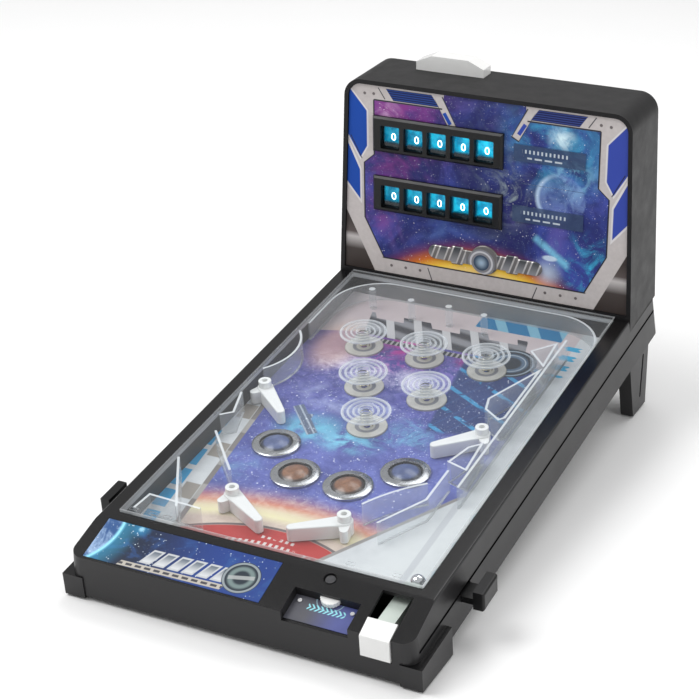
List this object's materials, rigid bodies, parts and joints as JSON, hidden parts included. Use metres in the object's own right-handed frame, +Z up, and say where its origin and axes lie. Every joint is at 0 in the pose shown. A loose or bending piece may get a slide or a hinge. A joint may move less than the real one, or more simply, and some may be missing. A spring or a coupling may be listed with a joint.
{
  "type": "tabletop electronic pinball machine",
  "caption": "Tabletop pinball machine with a sloping covered playfield, side buttons that work its flippers, a pull-back launcher and an upright score head.",
  "frame": {"origin": "at table height, under the middle of the machine's bounding box", "axes": "+Z up, +Y away from the player towards the score head, +X to the player's right"},
  "size_m": [0.296, 0.482, 0.274],
  "materials": {
    "body_plastic": "satin moulded charcoal-black plastic",
    "pad_rubber": "soft black rubber",
    "playfield_print": "printed star and planet art under a clear gloss coat",
    "clear_plastic": "clear polished plastic",
    "contact_metal": "plated contact metal, silver with a warm tint",
    "spring_steel": "bright drawn spring wire",
    "chrome_ring": "bright chromed plastic",
    "blue_lens": "translucent blue lens",
    "amber_lens": "translucent brown-amber lens",
    "white_plastic": "glossy white moulded plastic",
    "pale_plastic": "pale grey-green moulded plastic",
    "black_plastic": "black moulded plastic",
    "ball_steel": "polished ball-bearing steel",
    "label_print": "printed gloss label, dark blue with a planet",
    "dial_print": "printed gloss plate with numbers and chevrons",
    "panel_print": "printed art panel, nebula and planets in a grey frame",
    "emblem_metal": "metallic silver with a blue rim",
    "reel_print": "cyan reel with white numbers",
    "circuit_board": "green solder-masked board",
    "battery_skin": "plain printed battery jacket",
    "speaker_paper": "black paper cone in a steel basket",
    "screw_steel": "zinc-plated steel"
  },
  "bodies": {
    "frame": {"base_tray": "body_plastic", "top_frame": "body_plastic", "front_feet": "body_plastic", "rear_legs": "body_plastic", "foot_pads": "pad_rubber", "playfield_board": "playfield_print", "playfield_cover": "clear_plastic", "arch_rail": "clear_plastic", "side_guides": "clear_plastic", "inlane_guides": "clear_plastic", "lane_posts": "clear_plastic", "contact_plates": "contact_metal", "bumper_caps": "clear_plastic", "contact_springs": "spring_steel", "lamp_rings": "chrome_ring", "lamps_blue": "blue_lens", "lamps_amber": "amber_lens", "button_spring_left": "spring_steel", "button_spring_right": "spring_steel", "launch_cradle": "body_plastic", "plunger_spring": "spring_steel", "apron_label": "label_print", "dial_plate": "dial_print", "head_shell": "body_plastic", "head_panel": "panel_print", "score_windows": "clear_plastic", "title_emblem": "emblem_metal", "reel_axles": "spring_steel", "reset_springs": "spring_steel", "speaker": "speaker_paper", "main_board": "circuit_board", "battery_cells": "battery_skin", "case_screws": "screw_steel", "score_bezel_upper": "black_plastic", "score_bezel_lower": "black_plastic"},
    "left_button": {"flipper_button_left": "black_plastic", "push_bar_left": "pale_plastic"},
    "right_button": {"flipper_button_right": "black_plastic", "push_bar_right": "pale_plastic"},
    "upper_left_flipper": {"flipper_upper_left": "white_plastic"},
    "lower_left_flipper": {"flipper_lower_left": "white_plastic"},
    "lower_right_flipper": {"flipper_lower_right": "white_plastic"},
    "upper_right_flipper": {"flipper_upper_right": "white_plastic"},
    "launcher": {"launch_knob": "white_plastic", "plunger_rod": "pale_plastic"},
    "ball": {"game_ball": "ball_steel"},
    "counter": {"counter_wheel": "white_plastic"},
    "reset": {"reset_bar": "white_plastic"},
    "switch": {"power_switch": "black_plastic"},
    "battery_lid": {"battery_door": "body_plastic"},
    "reel_upper_1": {"score_reel_upper_1": "reel_print"},
    "reel_upper_2": {"score_reel_upper_2": "reel_print"},
    "reel_upper_3": {"score_reel_upper_3": "reel_print"},
    "reel_upper_4": {"score_reel_upper_4": "reel_print"},
    "reel_upper_5": {"score_reel_upper_5": "reel_print"},
    "reel_lower_1": {"score_reel_lower_1": "reel_print"},
    "reel_lower_2": {"score_reel_lower_2": "reel_print"},
    "reel_lower_3": {"score_reel_lower_3": "reel_print"},
    "reel_lower_4": {"score_reel_lower_4": "reel_print"},
    "reel_lower_5": {"score_reel_lower_5": "reel_print"}
  },
  "joints": [
    {"name": "left_button_push", "type": "slide", "parent": "frame", "child": "left_button", "axis": [1, 0, 0], "range_m": [0, 0.006], "stiffness_N_per_m": 250, "springref_m": -0.004, "deforming": ["button_spring_left"]},
    {"name": "right_button_push", "type": "slide", "parent": "frame", "child": "right_button", "axis": [-1, 0, 0], "range_m": [0, 0.006], "stiffness_N_per_m": 250, "springref_m": -0.004, "deforming": ["button_spring_right"]},
    {"name": "upper_left_flip", "type": "hinge", "parent": "frame", "child": "upper_left_flipper", "pos_m": [-0.1035, -0.00322, 0.05416], "axis": [0, -0.1149, 0.9934], "range_deg": [0, 50]},
    {"name": "lower_left_flip", "type": "hinge", "parent": "frame", "child": "lower_left_flipper", "pos_m": [-0.0575, -0.13633, 0.03876], "axis": [0, -0.1149, 0.9934], "range_deg": [0, 50]},
    {"name": "lower_right_flip", "type": "hinge", "parent": "frame", "child": "lower_right_flipper", "pos_m": [0.0305, -0.13633, 0.03876], "axis": [0, -0.1149, 0.9934], "range_deg": [-50, 0]},
    {"name": "upper_right_flip", "type": "hinge", "parent": "frame", "child": "upper_right_flipper", "pos_m": [0.0765, -0.00322, 0.05416], "axis": [0, -0.1149, 0.9934], "range_deg": [-50, 0]},
    {"name": "launch_pull", "type": "slide", "parent": "frame", "child": "launcher", "axis": [0, -0.9934, -0.1149], "range_m": [0, 0.015], "stiffness_N_per_m": 150, "springref_m": -0.003, "deforming": ["plunger_spring"]},
    {"name": "ball_roll", "type": "slide", "parent": "frame", "child": "ball", "axis": [0, 0.9934, 0.1149], "range_m": [0, 0.29]},
    {"name": "counter_turn", "type": "hinge", "parent": "frame", "child": "counter", "pos_m": [0.06, -0.21507, 0.03749], "axis": [0, -0.3145, 0.9492], "continuous": true},
    {"name": "reset_press", "type": "slide", "parent": "frame", "child": "reset", "axis": [0, 0.0192, -0.9998], "range_m": [0, 0.004], "stiffness_N_per_m": 250, "springref_m": -0.003, "deforming": ["reset_springs"]},
    {"name": "power_slide", "type": "slide", "parent": "frame", "child": "switch", "axis": [1, 0, 0], "range_m": [0, 0.004]},
    {"name": "battery_door_open", "type": "hinge", "parent": "frame", "child": "battery_lid", "pos_m": [0, 0.05106, 0.03527], "axis": [-1, 0, 0], "range_deg": [0, 30]},
    {"name": "reel_upper_1_turn", "type": "hinge", "parent": "frame", "child": "reel_upper_1", "pos_m": [-0.0802, 0.19576, 0.21543], "axis": [1, 0, 0], "continuous": true},
    {"name": "reel_upper_2_turn", "type": "hinge", "parent": "frame", "child": "reel_upper_2", "pos_m": [-0.0598, 0.19576, 0.21543], "axis": [1, 0, 0], "continuous": true},
    {"name": "reel_upper_3_turn", "type": "hinge", "parent": "frame", "child": "reel_upper_3", "pos_m": [-0.0394, 0.19576, 0.21543], "axis": [1, 0, 0], "continuous": true},
    {"name": "reel_upper_4_turn", "type": "hinge", "parent": "frame", "child": "reel_upper_4", "pos_m": [-0.019, 0.19576, 0.21543], "axis": [1, 0, 0], "continuous": true},
    {"name": "reel_upper_5_turn", "type": "hinge", "parent": "frame", "child": "reel_upper_5", "pos_m": [0.0014, 0.19576, 0.21543], "axis": [1, 0, 0], "continuous": true},
    {"name": "reel_lower_1_turn", "type": "hinge", "parent": "frame", "child": "reel_lower_1", "pos_m": [-0.0802, 0.19674, 0.16444], "axis": [1, 0, 0], "continuous": true},
    {"name": "reel_lower_2_turn", "type": "hinge", "parent": "frame", "child": "reel_lower_2", "pos_m": [-0.0598, 0.19674, 0.16444], "axis": [1, 0, 0], "continuous": true},
    {"name": "reel_lower_3_turn", "type": "hinge", "parent": "frame", "child": "reel_lower_3", "pos_m": [-0.0394, 0.19674, 0.16444], "axis": [1, 0, 0], "continuous": true},
    {"name": "reel_lower_4_turn", "type": "hinge", "parent": "frame", "child": "reel_lower_4", "pos_m": [-0.019, 0.19674, 0.16444], "axis": [1, 0, 0], "continuous": true},
    {"name": "reel_lower_5_turn", "type": "hinge", "parent": "frame", "child": "reel_lower_5", "pos_m": [0.0014, 0.19674, 0.16444], "axis": [1, 0, 0], "continuous": true}
  ],
  "couplings": [
    {"joint": "upper_left_flip", "follows": "left_button_push", "rad_per_m": 145.44},
    {"joint": "lower_left_flip", "follows": "left_button_push", "rad_per_m": 145.44},
    {"joint": "lower_right_flip", "follows": "right_button_push", "rad_per_m": -145.44},
    {"joint": "upper_right_flip", "follows": "right_button_push", "rad_per_m": -145.44}
  ]
}
